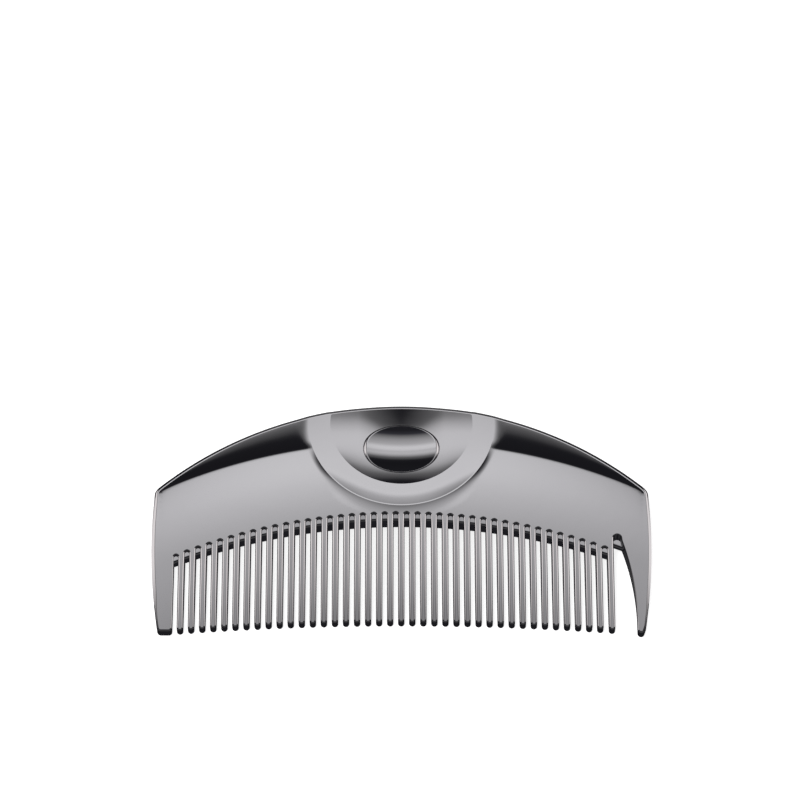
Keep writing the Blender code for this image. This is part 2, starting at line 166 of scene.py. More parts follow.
class Path:
    """A run of outline points, each with its inward direction and its zone."""

    least_step = 0.02

    def __init__(self) -> None:
        """Start with no points."""
        self.points: list[tuple[float, float]] = []
        self.inward: list[tuple[float, float]] = []
        self.zones: list[Zone] = []

    def add(self, point: tuple[float, float], inward: tuple[float, float], zone: Zone) -> None:
        """Append one point, unless it repeats the last one."""
        if self.points and math.dist(self.points[-1], point) < self.least_step:
            return
        length = math.hypot(*inward)
        self.points.append(point)
        self.inward.append((inward[0] / length, inward[1] / length))
        self.zones.append(zone)

    def add_arc(self, centre: tuple[float, float], radius: float, start: float, end: float, steps: int,
                zone: Zone, hollow: bool = False) -> None:
        """Append points along an arc.

        Args:
            centre: The arc's centre.
            radius: Its radius.
            start: First angle in degrees.
            end: Last angle in degrees.
            steps: Number of intervals.
            zone: The zone of the points.
            hollow: True where the material lies outside the circle.
        """
        for i in range(steps + 1):
            angle = math.radians(start + (end - start) * i / steps)
            ray = (math.cos(angle), math.sin(angle))
            side = 1.0 if hollow else -1.0
            point = (centre[0] + radius * ray[0], centre[1] + radius * ray[1])
            self.add(point, (side * ray[0], side * ray[1]), zone)

    def add_line(self, start: tuple[float, float], end: tuple[float, float], step: float, zone: Zone) -> None:
        """Append points along a straight run whose material lies on the left."""
        count = max(1, round(math.dist(start, end) / step))
        inward = (start[1] - end[1], end[0] - start[0])
        for i in range(count + 1):
            share = i / count
            point = (start[0] + (end[0] - start[0]) * share, start[1] + (end[1] - start[1]) * share)
            self.add(point, inward, zone)

    def add_bend(self, start: tuple[float, float], corner: tuple[float, float], end: tuple[float, float],
                 zone: Zone, steps: int = 8) -> None:
        """Append a rounded corner between two directions, with the material on the left."""
        for i in range(steps + 1):
            t = i / steps
            point = tuple((1 - t) ** 2 * a + 2 * t * (1 - t) * b + t * t * c
                          for a, b, c in zip(start, corner, end))
            along = tuple((1 - t) * (b - a) + t * (c - b) for a, b, c in zip(start, corner, end))
            self.add(point, (-along[1], along[0]), zone)


@dataclass
class CombPlan:
    """The comb seen from above: its outline, the rows of teeth and slots, and the two guard teeth."""

    half_width: float
    half_height: float
    spine_radius: float = 95.0
    side_radius: float = 160.0
    widest_y: float = -6.0
    corner_radius: float = 1.4
    guard_foot_y: float = -32.28
    guard_corner: float = 1.0
    slot_count: int = 40
    pitch: float = 2.841
    slot_width: float = 1.17
    first_slot_x: float = -58.28
    last_tooth_x: float = 54.1
    arch_line_y: float = 0.47
    arch_line_radius: float = 152.0
    tip_line_y: float = -29.68
    tip_line_radius: float = 690.0
    gap_crown_y: float = -5.5
    hook_x: float = 60.62
    hook_y: float = -29.78
    hook_radius: float = 72.7
    hook_tip_radius: float = 0.93
    hook_start: float = 0.8
    hook_steps: int = 24
    gap_crown_x: float = 55.95
    gap_crown_end: float = 20.0
    plain_foot: float = 7.0
    point_step: float = 1.3
    arch_steps: int = 10
    tip_steps: int = 12
    corner_steps: int = 12
    right_steps: int = 36
    spine_steps: int = 150
    left_steps: int = 34

    def spine_y(self, x: np.ndarray | float) -> np.ndarray | float:
        """Return the Y of the curved spine."""
        return self.half_height - arc_drop(x, self.spine_radius)

    def side_x(self, y: np.ndarray | float) -> np.ndarray | float:
        """Return the half width at Y."""
        return self.half_width - arc_drop(y - self.widest_y, self.side_radius)

    def arch_y(self, x: np.ndarray | float) -> np.ndarray | float:
        """Return the Y of the slots' crowns."""
        return self.arch_line_y - arc_drop(x, self.arch_line_radius)

    def tip_y(self, x: np.ndarray | float) -> np.ndarray | float:
        """Return the Y of the tooth tips."""
        return self.tip_line_y - arc_drop(x, self.tip_line_radius)

    def inner_hook_x(self, y: float) -> float:
        """Return the inner edge of the hooked guard tooth."""
        return float(self.hook_x - arc_drop(min(self.hook_y - y, 0.0), self.hook_radius))

    @property
    def tooth_half(self) -> float:
        """Return half a tooth's width."""
        return (self.pitch - self.slot_width) / 2.0

    def teeth(self) -> list[float]:
        """Return the X of each tooth, from left to right."""
        places = [self.first_slot_x + self.pitch * (i + 0.5) for i in range(self.slot_count - 1)]
        return places + [self.last_tooth_x]

    def slots(self) -> list[tuple[float, float]]:
        """Return the left and right wall of each slot."""
        teeth = self.teeth()
        left = [self.first_slot_x - self.slot_width / 2.0] + [x + self.tooth_half for x in teeth[:-1]]
        return [(wall, tooth - self.tooth_half) for wall, tooth in zip(left, teeth)]

    def corner_y(self) -> float:
        """Return the Y where the sides meet the spine."""
        low, high = 0.0, self.half_height / 2.0
        for _ in range(40):
            middle = (low + high) / 2.0
            if self.spine_y(self.side_x(middle)) > middle:
                low = middle
            else:
                high = middle
        return low

    def add_guard_foot(self, path: Path) -> None:
        """Append the square foot of the left guard tooth with its two rounded corners."""
        foot = self.guard_foot_y
        inner = self.first_slot_x - self.slot_width / 2.0
        outer = -float(self.side_x(foot))
        corner = self.guard_corner
        above = (-float(self.side_x(foot + corner)), foot + corner)
        path.add_bend(above, (outer, foot), (outer + corner, foot), Zone.FOOT)
        path.add_bend((inner - corner, foot), (inner, foot), (inner, foot + corner), Zone.FOOT)

    def add_teeth(self, path: Path) -> None:
        """Append the slots and teeth from left to right."""
        for (left, right), tooth in zip(self.slots(), self.teeth()):
            middle = (left + right) / 2.0
            radius = (right - left) / 2.0
            spring = float(self.arch_y(middle)) - radius
            previous_tip = path.points[-1][1]
            zone = Zone.GUARD if left < self.first_slot_x else Zone.TOOTH
            path.add_line((left, previous_tip), (left, spring), self.point_step, zone)
            path.add_arc((middle, spring), radius, 180.0, 0.0, self.arch_steps, Zone.ARCH, hollow=True)
            tip = float(self.tip_y(tooth)) + self.tooth_half
            path.add_line((right, spring), (right, tip), self.point_step, Zone.TOOTH)
            path.add_arc((tooth, tip), self.tooth_half, 180.0, 360.0, self.tip_steps, Zone.TIP)

    def add_hook(self, path: Path) -> None:
        """Append the wide gap and the hooked guard tooth at the right end."""
        wall = self.last_tooth_x + self.tooth_half
        radius = self.gap_crown_x - wall
        spring = self.gap_crown_y - radius
        path.add_line((wall, path.points[-1][1]), (wall, spring), self.point_step, Zone.TOOTH)
        crown = (self.gap_crown_x, spring)
        path.add_arc(crown, radius, 180.0, self.gap_crown_end, self.arch_steps, Zone.ARCH, hollow=True)
        top = spring - self.hook_start
        foot = -self.half_height + self.hook_tip_radius
        centre = (self.hook_x - self.hook_radius, self.hook_y)
        for i in range(self.hook_steps + 1):
            y = top + (foot - top) * i / self.hook_steps
            x = self.inner_hook_x(y)
            path.add((x, y), (x - centre[0], max(y - centre[1], 0.0)), Zone.GUARD)
        tip = (self.hook_x + self.hook_tip_radius, foot)
        path.add_arc(tip, self.hook_tip_radius, 180.0, 350.0, self.tip_steps, Zone.FOOT)

    def add_back(self, path: Path) -> None:
        """Append the right side, the spine and the left side."""
        top = self.corner_y()
        reach = self.corner_radius
        foot = -self.half_height + self.hook_tip_radius
        side_centre = self.half_width - self.side_radius
        for i in range(1, self.right_steps):
            y = foot + (top - reach - foot) * i / self.right_steps
            x = float(self.side_x(y))
            path.add((x, y), (side_centre - x, self.widest_y - y), self.side_zone(y, True))
        corner = (float(self.side_x(top)), top)
        side = (float(self.side_x(top - reach)), top - reach)
        shoulder = (corner[0] - reach, float(self.spine_y(corner[0] - reach)))
        path.add_bend(side, corner, shoulder, Zone.SPINE, self.corner_steps)
        for i in range(1, self.spine_steps):
            x = shoulder[0] * (1.0 - 2.0 * i / self.spine_steps)
            y = float(self.spine_y(x))
            path.add((x, y), (-x, self.half_height - self.spine_radius - y), Zone.SPINE)
        shoulder, corner, side = ((-x, y) for x, y in (shoulder, corner, side))
        path.add_bend(shoulder, corner, side, Zone.SPINE, self.corner_steps)
        low = self.guard_foot_y + self.guard_corner
        for i in range(1, self.left_steps):
            y = side[1] + (low - side[1]) * i / self.left_steps
            x = float(self.side_x(y))
            path.add((-x, y), (x - side_centre, self.widest_y - y), self.side_zone(y, False))

    def side_zone(self, y: float, right: bool) -> Zone:
        """Return the zone of a side point, which narrows to a plain edge near the guard's foot."""
        if y < self.guard_foot_y + self.plain_foot:
            return Zone.FOOT
        return Zone.RIGHT_SIDE if right else Zone.LEFT_SIDE

    def outline(self) -> Path:
        """Return the whole outline, anticlockwise from the left guard's foot."""
        path = Path()
        self.add_guard_foot(path)
        self.add_teeth(path)
        self.add_hook(path)
        self.add_back(path)
        return path


class Region(IntEnum):
    """A part of the comb's face whose surface follows its own rule."""

    FACE = 0
    RING = 1
    DISH = 2
    BEAD = 3


@dataclass
class FaceRelief:
    """Heights of the crowned face, the two scoops, the raised disc and its dish above the flat back.

    A pair of numbers is the Y where something starts to fade or grow, and the Y where it has done so. The
    sizes with shade in their names, and those of the hollow and the merge, only steer the polished surface's
    normals.
    """

    plan: CombPlan
    disc_top: float
    tip_thickness: float = 2.7
    face_thickness: float = 7.1
    face_loss: float = 2.0
    rim_thickness: float = 5.7
    rim_loss: float = 0.95
    rim_slope: float = 0.075
    arris_y0: float = 20.9
    arris_radius: float = 155.0
    arris_round: float = 0.35
    least_run: float = 0.4
    disc_radius: float = 24.4
    disc_y: float = 26.6
    skirt_width: float = 1.6
    skirt_low_gain: float = 2.4
    skirt_low_fade: tuple[float, float] = (3.0, 12.0)
    skirt_high_gain: float = 2.0
    skirt_high_rise: tuple[float, float] = (20.0, 28.0)
    skirt_power: float = 2.0
    skirt_shade_side: float = 0.75
    skirt_shade_low: float = 0.6
    skirt_shade_rise: tuple[float, float] = (2.5, 8.0)
    bead_width: float = 0.28
    bead_rise: tuple[float, float] = (7.0, 15.0)
    band_fall_start: float = 15.0
    band_fall_power: float = 1.6
    band_fall_limit: float = 1.2
    band_shade_share: float = 0.15
    band_reveal: float = 0.1
    margin_start: float = 20.8
    margin_slope: float = 0.16
    margin_fade: tuple[float, float] = (5.0, 14.0)
    dish_radius: float = 18.7
    dish_y: float = 27.1
    dish_slope: float = 0.165
    dish_flat: float = 0.54
    dish_power: float = 1.0
    dish_fade: tuple[float, float] = (13.0, 22.0)
    dish_shade_share: float = 0.6
    dish_shade_loss: float = 0.040
    dish_shade_least: float = 0.15
    dish_shade_power: float = 1.3
    dish_shade_ease: float = 0.28
    hollow_slope: float = 0.066
    hollow_fade: float = 0.0008
    hollow_start: float = 19.0
    hollow_start_gain: float = 4.0
    hollow_rise: float = 8.0
    hollow_side: float = 12.0
    merge_width: float = 4.5
    merge_rise: tuple[float, float] = (18.0, 22.0)
    lens_start: float = 22.0
    lens_drop: float = 0.55
    lens_inner: float = 8.0
    lens_outer: float = 24.0

    def arris_y(self, x: np.ndarray) -> np.ndarray:
        """Return the Y of the line where the face turns into the scoops."""
        return self.arris_y0 - arc_drop(x, self.arris_radius)

    def crown_z(self, x: np.ndarray) -> np.ndarray:
        """Return the height along the arris."""
        return self.face_thickness - self.face_loss * (x / self.plan.half_width) ** 2

    def rim_z(self, x: np.ndarray) -> np.ndarray:
        """Return the height along the spine's rim."""
        return self.rim_thickness - self.rim_loss * (x / self.plan.half_width) ** 2

    def rim_y(self, x: np.ndarray) -> np.ndarray:
        """Return the Y where the face ends inside the rim's level land."""
        edge = EDGE_ROUNDS[Zone.SPINE]
        return self.plan.spine_y(x) - edge.width - edge.land

    def outer_z(self, x: np.ndarray, y: np.ndarray) -> np.ndarray:
        """Return the height of the crowned face and the scoops behind it."""
        arris = self.arris_y(x)
        tip = self.plan.tip_y(x)
        rise = np.clip((y - tip) / (arris - tip), 0.0, 1.0)
        crown = self.crown_z(x)
        face = self.tip_thickness + (crown - self.tip_thickness) * rise * (2.0 - rise)
        run = np.maximum(self.rim_y(x) - arris, self.least_run)
        drop = crown - self.rim_z(x)
        ease = self.rim_slope * run / drop
        share = (y - arris) / run
        soft = self.arris_round / run
        share = np.clip(0.5 * (share + np.sqrt(share * share + soft * soft)), 0.0, 1.0)
        return face - drop * ((2.0 - ease) * share - (1.0 - ease) * share * share)

    def band_z(self, x: np.ndarray, y: np.ndarray, fall_share: np.ndarray | float = 1.0) -> np.ndarray:
        """Return the height of the raised disc's ring, without the dish.

        Args:
            x: Places along the comb.
            y: Places across it.
            fall_share: How much of the fall towards the spine counts.

        Returns:
            The heights.
        """
        reach = np.maximum(self.plan.spine_y(x) - self.band_fall_start, 1.0)
        run = np.clip((y - self.band_fall_start) / reach, 0.0, self.band_fall_limit)
        radius = np.hypot(x, y - self.disc_y)
        over = np.maximum(radius - self.margin_start, 0.0)
        margin = self.margin_slope * over * over / (2.0 * (self.disc_radius - self.margin_start))
        margin *= 1.0 - smooth_step(*self.margin_fade, y)
        fall = self.disc_top - self.rim_z(x) - self.band_reveal
        return self.disc_top - fall_share * fall * run ** self.band_fall_power - margin

    def skirt_z(self, x: np.ndarray, y: np.ndarray, shaded: bool = False) -> np.ndarray:
        """Return the height outside the disc, where its edge runs out into the face in a hollow curve.

        Args:
            x: Places along the comb.
            y: Places across it.
            shaded: True for the lower and gentler run-out that the polished surface is shaded with.

        Returns:
            The heights.
        """
        beyond = np.hypot(x, y - self.disc_y) - self.disc_radius
        low = self.skirt_low_gain * (1.0 - smooth_step(*self.skirt_low_fade, y))
        width = self.skirt_width + low + self.skirt_high_gain * smooth_step(*self.skirt_high_rise, y)
        share = np.maximum(1.0 - beyond / width, 0.0)
        outer = self.outer_z(x, y)
        gain = 1.0
        if shaded:
            sides = smooth_step(*self.skirt_shade_rise, y) * (1.0 - smooth_step(*self.merge_rise, y))
            gain = self.skirt_shade_low + (self.skirt_shade_side - self.skirt_shade_low) * sides
        return outer + gain * (self.band_z(x, y) - outer) * share ** self.skirt_power

    def dish_z(self, x: np.ndarray, y: np.ndarray) -> np.ndarray:
        """Return the height inside the dish, which runs out over the spine's rim."""
        share = np.hypot(x, y - self.dish_y) / self.dish_radius
        inner = np.clip((share - self.dish_flat) / (1.0 - self.dish_flat), 0.0, 1.0)
        power = self.dish_power + 1.0
        depth = self.dish_slope * self.dish_radius * (1.0 - self.dish_flat) / power
        keep = 1.0 - smooth_step(*self.dish_fade, y)
        rise = np.clip((y - self.lens_start) / (self.plan.spine_y(x) - self.lens_start), 0.0, 1.0)
        middle = 1.0 - smooth_step(self.lens_inner, self.lens_outer, np.abs(x))
        lens = np.sin(math.pi * rise / 2.0) ** 2 * middle
        wall = depth * (keep * (1.0 - inner ** power))
        return self.band_z(x, y) - wall - self.lens_drop * lens

    def dish_slopes(self, x: np.ndarray, y: np.ndarray) -> tuple[np.ndarray, np.ndarray]:
        """Return the slopes that the dish's wall and the hollow above the oval add to the shading.

        Args:
            x: Places along the comb.
            y: Places across it.

        Returns:
            The slopes along X and the slopes along Y.
        """
        across = y - self.dish_y
        radius = np.hypot(x, across)
        inner = np.clip((radius / self.dish_radius - self.dish_flat) / (1.0 - self.dish_flat), 0.0, 1.0)
        keep = 1.0 - smooth_step(*self.dish_fade, y)
        aside = smooth_step(0.0, self.hollow_side, np.abs(x))
        steep = self.dish_slope * (1.0 - self.dish_shade_ease * aside)
        wall = steep * inner ** self.dish_shade_power * keep / np.maximum(radius, 1.0)
        start = self.hollow_start + self.hollow_start_gain * aside
        hollow = np.maximum(self.hollow_slope - self.hollow_fade * np.abs(x), 0.0)
        return wall * x, wall * across - hollow * smooth_step(0.0, self.hollow_rise, y - start)

    def merge_share(self, x: np.ndarray, y: np.ndarray) -> np.ndarray:
        """Return how far the shading beside the disc is the disc's own, where both run together."""
        beyond = np.hypot(x, y - self.disc_y) - self.disc_radius
        return np.clip(1.0 - beyond / self.merge_width, 0.0, 1.0) ** 3 * smooth_step(*self.merge_rise, y)

    def regions(self, x: np.ndarray, y: np.ndarray) -> np.ndarray:
        """Return the region at each place, where the bead is the disc's thin outer edge."""
        radius = np.hypot(x, y - self.disc_y)
        inside_dish = np.hypot(x, y - self.dish_y) < self.dish_radius
        inner = np.where(inside_dish, Region.DISH, Region.RING)
        bead = (radius < self.disc_radius) & (radius > self.disc_radius - self.bead_width) & ~inside_dish
        return np.where(radius < self.disc_radius, np.where(bead, Region.BEAD, inner), Region.FACE)

    def region_z(self, x: np.ndarray, y: np.ndarray, region: np.ndarray, shaded: bool = False) -> np.ndarray:
        """Return the heights of the regions' surfaces, also where they are carried past their borders.

        Args:
            x: Places along the comb.
            y: Places across it.
            region: The region's number at each place.
            shaded: True for the gentler heights, without the dish's wall, that the slopes are taken from.

        Returns:
            The heights.
        """
        band_share = self.band_shade_share if shaded else 1.0
        fading = self.dish_shade_share - self.dish_shade_loss * np.abs(x)
        dish_share = np.clip(fading, self.dish_shade_least, 1.0)
        band = self.band_z(x, y, band_share)
        dish = self.band_z(x, y, dish_share) if shaded else self.dish_z(x, y)
        return np.choose(region, [self.skirt_z(x, y, shaded), band, dish, band])

    def top_z(self, x: np.ndarray, y: np.ndarray) -> np.ndarray:
        """Return the height of the whole face."""
        return self.region_z(x, y, self.regions(x, y))

    def slopes(self, x: np.ndarray, y: np.ndarray, region: np.ndarray) -> tuple[np.ndarray, np.ndarray]:
        """Return the slopes along X and Y of the regions' shaded surfaces."""
        step = 0.04
        right, left = (self.region_z(x + shift, y, region, True) for shift in (step, -step))
        above, below = (self.region_z(x, y + shift, region, True) for shift in (step, -step))
        return (right - left) / (2 * step), (above - below) / (2 * step)

    def normals(self, x: np.ndarray, y: np.ndarray, region: np.ndarray) -> np.ndarray:
        """Return the upward directions that the regions' surfaces are shaded with."""
        slope_x, slope_y = self.slopes(x, y, region)
        band_x, band_y = self.slopes(x, y, np.ones_like(region))
        merge = np.where(region == Region.FACE, self.merge_share(x, y), 0.0)
        slope_x += (band_x - slope_x) * merge
        slope_y += (band_y - slope_y) * merge
        wall_x, wall_y = self.dish_slopes(x, y)
        slope_x += np.where(region == Region.DISH, wall_x, 0.0)
        slope_y += np.where(region == Region.DISH, wall_y, 0.0)
        level = np.where(region == Region.BEAD, smooth_step(*self.bead_rise, y), 1.0)
        up = np.stack([-slope_x * level, -slope_y * level, np.ones_like(slope_x)], axis=-1)
        return up / np.linalg.norm(up, axis=-1, keepdims=True)


class Facets:
    """Vertices and faces of a mesh, with a normal for every corner of every face."""

    def __init__(self) -> None:
        """Start empty."""
        self.points: list[np.ndarray] = []
        self.count = 0
        self.faces: list[tuple[int, ...]] = []
        self.normals: list[np.ndarray] = []

    def add_points(self, points: np.ndarray) -> np.ndarray:
        """Add rows of XYZ in millimetres and return their numbers."""
        self.points.append(np.asarray(points, float))
        first = self.count
        self.count += len(points)
        return np.arange(first, self.count)

    def add_faces(self, faces: np.ndarray, normals: np.ndarray) -> None:
        """Add faces, as rows of vertex numbers, with one normal for each corner."""
        self.faces.extend(tuple(int(i) for i in face) for face in faces)
        self.normals.append(np.asarray(normals, float).reshape(-1, 3))

    def bridge(self, low: np.ndarray, high: np.ndarray, low_normals: np.ndarray,
               high_normals: np.ndarray) -> None:
        """Join two closed rings of the same length with a strip that faces outwards.

        Args:
            low: Vertex numbers of the ring that lies lower or further out, anticlockwise.
            high: Vertex numbers of the other ring.
            low_normals: A normal for each point of the low ring.
            high_normals: A normal for each point of the high ring.
        """
        ahead = np.roll(np.arange(len(low)), -1)
        faces = np.stack([low, low[ahead], high[ahead], high], axis=1)
        corners = np.stack([low_normals, low_normals[ahead], high_normals[ahead], high_normals], axis=1)
        self.add_faces(faces, corners)

    def build(self, name: str, material: bpy.types.Material) -> bpy.types.Object:
        """Make the object.

        Args:
            name: The piece's name.
            material: Its finish.

        Returns:
            The new object, linked to the scene.
        """
        mesh = bpy.data.meshes.new(name)
        mesh.from_pydata((np.concatenate(self.points) * MM).tolist(), [], self.faces)
        mesh.shade_smooth()
        mesh.materials.append(material)
        normals = np.concatenate(self.normals)
        normals /= np.linalg.norm(normals, axis=1, keepdims=True)
        mesh.normals_split_custom_set(normals.tolist())
        mesh.update()
        piece = bpy.data.objects.new(name, mesh)
        bpy.context.scene.collection.objects.link(piece)
        return piece


def inside_loop(points: np.ndarray, loop: np.ndarray) -> np.ndarray:
    """Tell which points lie inside a closed loop.

    Args:
        points: Rows of XY.
        loop: The loop's corners as rows of XY.

    Returns:
        One truth value for each point.
    """
    after = np.roll(loop, -1, axis=0)
    inside = np.zeros(len(points), bool)
    for (x0, y0), (x1, y1) in zip(loop, after):
        if y0 == y1:
            continue
        crosses = (y0 > points[:, 1]) != (y1 > points[:, 1])
        reach = x0 + (points[:, 1] - y0) * (x1 - x0) / (y1 - y0)
        inside ^= crosses & (points[:, 0] < reach)
    return inside


def point_tree(points: np.ndarray) -> kdtree.KDTree:
    """Return a search tree of rows of XY."""
    tree = kdtree.KDTree(len(points))
    for i, (x, y) in enumerate(points):
        tree.insert((x, y, 0.0), i)
    tree.balance()
    return tree


def triangulate(points: np.ndarray, edges: list[tuple[int, int]]) -> tuple[np.ndarray, np.ndarray, list]:
    """Fill the plane round fixed edges with triangles.

    Args:
        points: Rows of XY.
        edges: Pairs of point numbers that stay joined.

    Returns:
        The triangles' corners as rows of XY, the triangles as rows of three corner numbers,
        anticlockwise, and for each corner the points that it stands for.
    """
    made = delaunay_2d_cdt([tuple(p) for p in points], edges, [], 0, 1e-5, True)
    flat = np.array([tuple(v) for v in made[0]])
    faces = np.array([f for f in made[2] if len(f) == 3])
    turn = np.cross(flat[faces[:, 1]] - flat[faces[:, 0]], flat[faces[:, 2]] - flat[faces[:, 0]])
    faces[turn < 0.0] = faces[turn < 0.0][:, ::-1]
    return flat, faces, made[3]


@dataclass
class OvalSeat:
    """The oval in the dish: where it lies, its half axes, and how its edge plane leans."""

    centre_y: float
    half_length: float
    half_height: float
    edge_z: float = 6.25
    lean: float = math.radians(1.8)
    floor_z: float = 3.5
    steps: int = 120

    def ring(self, inset: float) -> np.ndarray:
        """Return points round the oval, anticlockwise, inset by a distance."""
        angle = np.linspace(0.0, 2.0 * math.pi, self.steps, endpoint=False)
        x = (self.half_length - inset) * np.cos(angle)
        y = self.centre_y + (self.half_height - inset) * np.sin(angle)
        return np.stack([x, y], axis=1)

    def outward(self, ring: np.ndarray) -> np.ndarray:
        """Return level directions square to the oval's wall, pointing away from its centre."""
        along = ring[:, 0] / self.half_length ** 2
        across = (ring[:, 1] - self.centre_y) / self.half_height ** 2
        away = np.stack([along, across, np.zeros(len(ring))], axis=1)
        return away / np.linalg.norm(away, axis=1, keepdims=True)


@dataclass
class CombBody:
    """The plated moulding: plate, teeth, guards, thumb rest and the web between the teeth.

    The face is one sheet of triangles. Its rows are distances from the arris, the disc's edge and the
    dish's edge, where it needs more of them than the even grid has.
    """

    plan: CombPlan
    relief: FaceRelief
    seat: OvalSeat
    grid_step: float = 0.8
    grid_low: float = -16.0
    grid_gap: float = 0.16
    arris_reach: float = 63.0
    arris_step: float = 0.6
    arris_rows: tuple[float, ...] = (-0.6, -0.25, 0.0, 0.25, 0.6, 1.0)
    disc_rows: tuple[float, ...] = (-1.6, -1.1, -0.65, 0.2, 0.42, 0.7, 1.05, 1.5, 2.0, 2.7, 3.5)
    dish_rows: tuple[float, ...] = (0.25, -0.25, -0.6, -1.1, -1.7)
    ring_turn: tuple[float, float] = (-200.0, 20.0)
    ring_step: float = 1.3
    line_steps: int = 221
    line_clear: float = 0.25
    rim_clear: float = 0.1
    side_clear: float = 0.4
    arch_clear: float = 0.6
    edge_blends: int = 6
    back_steps: int = 3
    back_round: float = 0.30
    side_lean: float = math.radians(38.0)
    web_line_y: float = -1.67
    web_line_radius: float = 153.0
    web_back_z: float = 1.7
    web_nose: float = 0.9
    web_nose_share: float = 0.55
    web_bevel: float = 0.3
    web_overlap: float = 0.12
    web_reach: float = 1.5
    web_lean: float = math.radians(7.0)
    web_lean_loss: float = 0.6
    recess_depth: float = 1.0
    recess_loss: float = 0.3
    gap_recess: float = 1.9
    gap_web_y: float = -8.4
    gap_web_width: float = 2.9
    seat_lip: float = 0.08
    seat_lip_share: float = 0.6
    mesh: Facets = field(default_factory=Facets)

    def edge_sizes(self, path: Path) -> tuple[np.ndarray, np.ndarray, np.ndarray]:
        """Return the rounding's width, depth and land at each outline point, eased between zones."""
        points = np.array(path.points)
        rounds = [EDGE_ROUNDS[zone] for zone in path.zones]
        sizes = np.array([[r.width, r.depth, r.land] for r in rounds])
        gaps = np.linalg.norm(np.roll(points, -1, axis=0) - points, axis=1)
        before = np.roll(gaps, 1)[:, None]
        after = gaps[:, None]
        pull = 1.0 / (1.0 + before) + 1.0 / (1.0 + after)
        for _ in range(self.edge_blends):
            last, following = np.roll(sizes, 1, axis=0), np.roll(sizes, -1, axis=0)
            near = (last / (1.0 + before) + following / (1.0 + after)) / pull
            sizes = 0.5 * sizes + 0.5 * near
        return sizes[:, 0], sizes[:, 1], sizes[:, 2]

    def feature_lines(self, border: np.ndarray) -> list[np.ndarray]:
        """Return the circles of the disc and the dish, cut where they meet the face's border."""
        lines = []
        relief = self.relief
        bead = relief.disc_radius - relief.bead_width
        circles = ((relief.disc_y, relief.disc_radius), (relief.disc_y, bead),
                   (relief.dish_y, relief.dish_radius))
        for centre_y, radius in circles:
            angle = np.radians(np.linspace(*self.ring_turn, self.line_steps))
            line = np.stack([radius * np.cos(angle), centre_y + radius * np.sin(angle)], axis=1)
            line = line[line[:, 1] < relief.rim_y(line[:, 0]) - self.line_clear]
            ends = [border[np.argmin(np.linalg.norm(border - line[i], axis=1))] for i in (0, -1)]
            lines.append(np.concatenate([ends[:1], line, ends[1:]]))
        return lines

    def guide_rows(self) -> list[np.ndarray]:
        """Return rows of points beside the arris, the disc's edge and the dish's edge."""
        relief = self.relief
        across = np.arange(-self.arris_reach, self.arris_reach, self.arris_step)
        rows = [np.stack([across, relief.arris_y(across) + shift], axis=1) for shift in self.arris_rows]
        angle = np.radians(np.arange(*self.ring_turn, self.ring_step))
        rings = [(relief.disc_y, relief.disc_radius + shift) for shift in self.disc_rows]
        rings += [(relief.dish_y, relief.dish_radius + shift) for shift in self.dish_rows]
        for centre_y, reach in rings:
            rows.append(np.stack([reach * np.cos(angle), centre_y + reach * np.sin(angle)], axis=1))
        return rows

    def even_grid(self) -> np.ndarray:
        """Return a grid over the plate whose every second row is shifted by half a step."""
        wide = np.arange(-self.plan.half_width, self.plan.half_width, self.grid_step)
        tall = np.arange(self.grid_low, self.plan.half_height, self.grid_step)
        grid = np.stack(np.meshgrid(wide, tall), axis=-1).reshape(-1, 2)
        grid[:, 0] += self.grid_step / 4.0
        row = np.round(grid[:, 1] / self.grid_step).astype(int)
        grid[:, 0] += np.where(row % 2 == 0, 0.0, self.grid_step / 2.0)
        return grid

    def grid_points(self, taken: np.ndarray) -> np.ndarray:
        """Return the face's inner points, thinned so that none lie too close together.

        Args:
            taken: The points of the borders and the circles, as rows of XY.

        Returns:
            The new points as rows of XY.
        """
        plan, relief = self.plan, self.relief
        grid = self.even_grid()
        points = np.concatenate([*self.guide_rows(), grid])
        x, y = points[:, 0], points[:, 1]
        inner = (y < relief.rim_y(x) - self.rim_clear) & (np.abs(x) < plan.side_x(y) - self.side_clear)
        inner &= y > plan.arch_y(x) + self.arch_clear
        fixed, chosen = point_tree(taken), point_tree(points)
        kept = []
        dropped = set()
        for i in np.flatnonzero(inner):
            place = (x[i], y[i], 0.0)
            if i in dropped or fixed.find(place)[2] < self.grid_gap:
                continue
            kept.append(points[i])
            reach = self.grid_gap if i < len(points) - len(grid) else 0.5 * self.grid_step
            dropped.update(number for _, number, _ in chosen.find_range(place, reach) if number > i)
        return np.array(kept)

